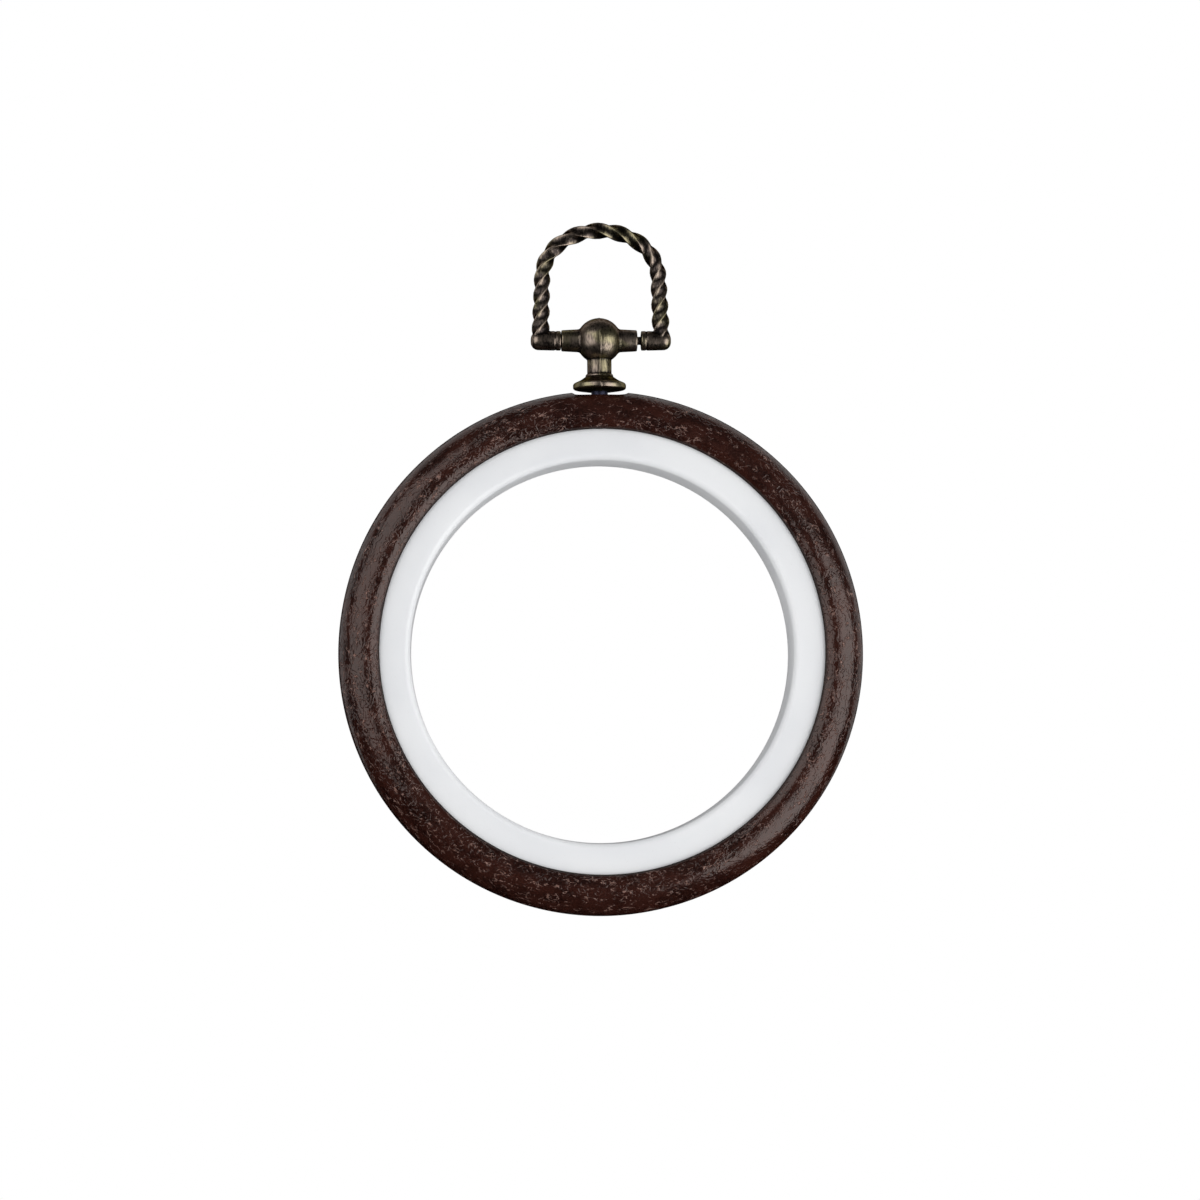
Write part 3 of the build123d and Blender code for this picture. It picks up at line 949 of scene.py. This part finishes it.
# %% The bail's centreline
crown_radius = 12.5 * mm
crown_half_sweep = radians(34.0)
shoulder_radius = 8.2 * mm
leg_length = 11.55 * mm
leg_splay = radians(2.15)
bar_radius = 1.55 * mm
bar_foot_radius = 1.72 * mm
shoulder_sweep = pi / 2 - leg_splay - crown_half_sweep
shoulder_run = shoulder_radius * shoulder_sweep
crown_run = crown_radius * crown_half_sweep
half_run = leg_length + shoulder_run + crown_run
# How far each foot stands from the bail's middle.
foot_spread = (
    crown_radius * sin(crown_half_sweep)
    + shoulder_radius * (cos(leg_splay) - sin(crown_half_sweep))
    + leg_length * sin(leg_splay)
)
bail_low, bail_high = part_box("bail")
bail_x = (bail_low.x + bail_high.x) / 2


def arch_place(from_top):
    """Place and climbing angle at a run from the top of the arch, down the right-hand side."""
    crown_centre = -crown_radius
    turn = min(from_top, crown_run) / crown_radius
    across, up = crown_radius * sin(turn), crown_centre + crown_radius * cos(turn)
    in_shoulder = min(max(from_top - crown_run, 0), shoulder_run)
    centre_across = across - shoulder_radius * sin(turn)
    centre_up = up - shoulder_radius * cos(turn)
    turn += in_shoulder / shoulder_radius
    if in_shoulder:
        across = centre_across + shoulder_radius * sin(turn)
        up = centre_up + shoulder_radius * cos(turn)
    down_leg = max(from_top - crown_run - shoulder_run, 0)
    return across + down_leg * cos(turn), up - down_leg * sin(turn), turn


print("centreline", round(2 * half_run / mm, 1), "mm long")

# %% [markdown]
# The twist is even on the legs and slower over the arch, as the photograph shows. Each place on the
# centreline gets a frame: where the bar is, how far it has turned, and how thick it is.

# %% The bar's twist and its frames
leg_lead = 11.8 * mm
crown_lead = 16.0 * mm
crown_twist = radians(20.0)


def twist(from_top):
    """How far the bar has turned at a run from the top of the arch."""
    slow, fast = tau / crown_lead, tau / leg_lead
    in_crown = min(from_top, crown_run)
    in_shoulder = min(max(from_top - crown_run, 0), shoulder_run)
    in_leg = max(from_top - crown_run - shoulder_run, 0)
    easing = (fast - slow) * in_shoulder**2 / (2 * shoulder_run)
    return slow * (in_crown + in_shoulder) + easing + fast * in_leg


def bar_frame(run):
    """The bar's place, turn and thickness at a run from the left foot."""
    side = 1 if run > half_run else -1
    across, up, turn = arch_place(abs(run - half_run))
    along = Vector((cos(turn), 0, -sin(turn) * side))
    middle = Vector((bail_x + side * across, 0, bar_radius + up))
    turned_by = side * twist(abs(run - half_run)) + crown_twist
    front = Matrix.Rotation(turned_by, 3, along) @ Vector((0, -1, 0))
    to_foot = min(run, 2 * half_run - run)
    swell = bar_radius + (bar_foot_radius - bar_radius) * max(0, 1 - to_foot / leg_length)
    matrix = Matrix((front, along.cross(front), along)).transposed().to_4x4()
    return Matrix.Translation(middle) @ matrix @ Matrix.Scale(swell, 4)


print("the bar turns", round(degrees(2 * twist(half_run))), "degrees from foot to foot")

# %% [markdown]
# A ring of points with four ridges and slightly hollow faces is extruded in small steps, and each step
# carries it to the next frame. A curve with a bevel profile and a tilt at its points would do too, but
# here each step has its own turn and thickness, so the twist slows exactly where it should.

# %% The twisted bar
bar_points = 40
face_share = 0.72
face_curve = 2.1
bar_steps = 260
bar = bmesh.new()
loop = bmesh.ops.create_circle(bar, segments=bar_points, radius=1.0)["verts"]
for vertex in loop:
    off_face = abs(degrees(atan2(vertex.co.y, vertex.co.x)) % 90 - 45) / 45
    vertex.co *= face_share + (1 - face_share) * off_face**face_curve
bmesh.ops.contextual_create(bar, geom=loop)
frames = [bar_frame(2 * half_run * step / bar_steps) for step in range(bar_steps + 1)]
bmesh.ops.transform(bar, matrix=frames[0], verts=loop)
rim = bar.edges[:]
for before, after in zip(frames, frames[1:]):
    grown = bmesh.ops.extrude_edge_only(bar, edges=rim)["geom"]
    rim = [item for item in grown if isinstance(item, bmesh.types.BMEdge)]
    tip = [item for item in grown if isinstance(item, bmesh.types.BMVert)]
    bmesh.ops.transform(bar, matrix=after @ before.inverted(), verts=tip)
bmesh.ops.contextual_create(bar, geom=rim)
bmesh.ops.recalc_face_normals(bar, faces=bar.faces)
twisted_bail = as_piece("twisted_bail", bar)
print("bar of", len(twisted_bail.data.polygons), "faces")

# %% [markdown]
# Each foot is turned: a pin, a collar of two bands with a groove between them, and the elbow that the
# bar grows out of. The left one is the mirror of the right one. A mirrored shape is inside out, so its
# normals are worked out again. Then bar and feet are joined and melted as the head was.

# %% The bail's feet
collar_face = tube_half + 0.435 * mm
pin_length = 3.0 * mm
pin_radius = 0.75 * mm
collar_radius = 3.56 / 2 * mm
collar_edge = 0.1 * mm
collar_groove = 0.18 * mm
elbow_radius = 3.36 / 2 * mm
elbow_round = 1.35 * mm
elbow_end = foot_spread + bar_foot_radius


def foot_section(along, out_from_axis):
    return Vector((bail_x + along, 0, tube_axis_z + out_from_axis))


for side in (1, -1):
    foot_outline = outline(
        [
            (collar_face - pin_length, 0, 0),
            (collar_face - pin_length, pin_radius, collar_edge),
            (collar_face, pin_radius, 0),
            (collar_face, collar_radius, 0.15 * mm),
            (collar_face + 0.8 * mm, collar_radius, collar_edge),
            (collar_face + 0.95 * mm, collar_radius - collar_groove, collar_edge),
            (collar_face + 1.1 * mm, collar_radius, collar_edge),
            (elbow_end, elbow_radius, elbow_round),
            (elbow_end, 0, 0),
        ],
        foot_section,
    )
    foot = turned(foot_outline, (bail_x, 0, tube_axis_z), (1, 0, 0), 64)
    if side < 0:
        about_the_middle = Matrix.Translation((-bail_x, 0, 0))
        bmesh.ops.scale(foot, vec=(-1, 1, 1), space=about_the_middle, verts=foot.verts)
        bmesh.ops.recalc_face_normals(foot, faces=foot.faces)
    cut_or_join(twisted_bail, as_piece("foot", foot), "UNION")
melt(twisted_bail, casting_voxel, passes=3)
mark_relief(twisted_bail, passes=140, reach=0.15 * mm)
dress(twisted_bail, "bail", "bail", bail_brass, 60)

# %% [markdown]
# The stem is dark oiled steel with a blue cast, turned on a lathe. Noise squeezed along the stem gives
# the fine rings that the lathe left, and plain noise the stains in the oil.

# %% The steel's finish
dark_steel, tree, shader = surface("dark_steel")
place = put(tree, "ShaderNodeTexCoord").outputs["Object"]
stain = put(tree, "ShaderNodeTexNoise", {"Vector": place, "Scale": 900.0, "Detail": 3.0}).outputs["Fac"]
lathe = put(tree, "ShaderNodeMapping", {"Vector": place, "Scale": (200.0, 200.0, 9000.0)}).outputs[0]
rings = put(tree, "ShaderNodeTexNoise", {"Vector": lathe, "Scale": 1.0, "Detail": 2.0}).outputs["Fac"]
dark_blue, pale_blue = (0.03, 0.032, 0.055, 1.0), (0.07, 0.07, 0.12, 1.0)
blue = blend(tree, remap(tree, stain, 0.35, 0.65), dark_blue, pale_blue)
tree.links.new(blue, shader.inputs["Base Color"])
shader.inputs["Metallic"].default_value = 0.9
rough = maths(tree, "ADD", 0.25, maths(tree, "MULTIPLY", stain, 0.3))
tree.links.new(rough, shader.inputs["Roughness"])
bump = put(tree, "ShaderNodeBump", {"Height": rings, "Strength": 0.5, "Distance": 0.01 * mm})
tree.links.new(bump.outputs[0], shader.inputs["Normal"])
print(dark_steel.name, "of", len(tree.nodes), "nodes")

# %% [markdown]
# The stem is pressed into the head above, runs through the ring, and is set over into a flat head under
# its washer. Only a short stretch of it shows, between the foot and the seat. Both are turned outlines
# again, and closed all round, so that they are whole where nobody looks too.

# %% The stem and its washer
stem_low, stem_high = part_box("rivet")
stem_radius = stem_diameter / 2
rivet_head_radius = (stem_high.x - stem_low.x) / 2
rivet_head_top = stem_low.z + 0.9 * mm
stem_outline = outline(
    [
        (0, stem_low.z, 0),
        (rivet_head_radius, stem_low.z, 0.3 * mm),
        (rivet_head_radius, rivet_head_top, 0.08 * mm),
        (stem_radius, rivet_head_top, 0.05 * mm),
        (stem_radius, stem_high.z, 0.1 * mm),
        (0, stem_high.z, 0),
    ],
    upright_section,
)
stem = as_piece("stem", turned(stem_outline, (0, 0, 0), (0, 0, 1), 64))
dress(stem, "head", "rivet", dark_steel, 40)

washer_low, washer_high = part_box("rivet_washer")
washer_radius = (washer_high.x - washer_low.x) / 2
washer_hole = stem_hole / 2
washer_round = 0.06 * mm
washer_outline = outline(
    [
        (washer_hole, washer_low.z, washer_round),
        (washer_radius, washer_low.z, washer_round),
        (washer_radius, washer_high.z, washer_round),
        (washer_hole, washer_high.z, washer_round),
    ],
    upright_section,
)
stem_washer = as_piece("stem_washer", turned(washer_outline, (0, 0, 0), (0, 0, 1), 64))
dress(stem_washer, "outer_ring", "rivet_washer", dark_steel, 40)
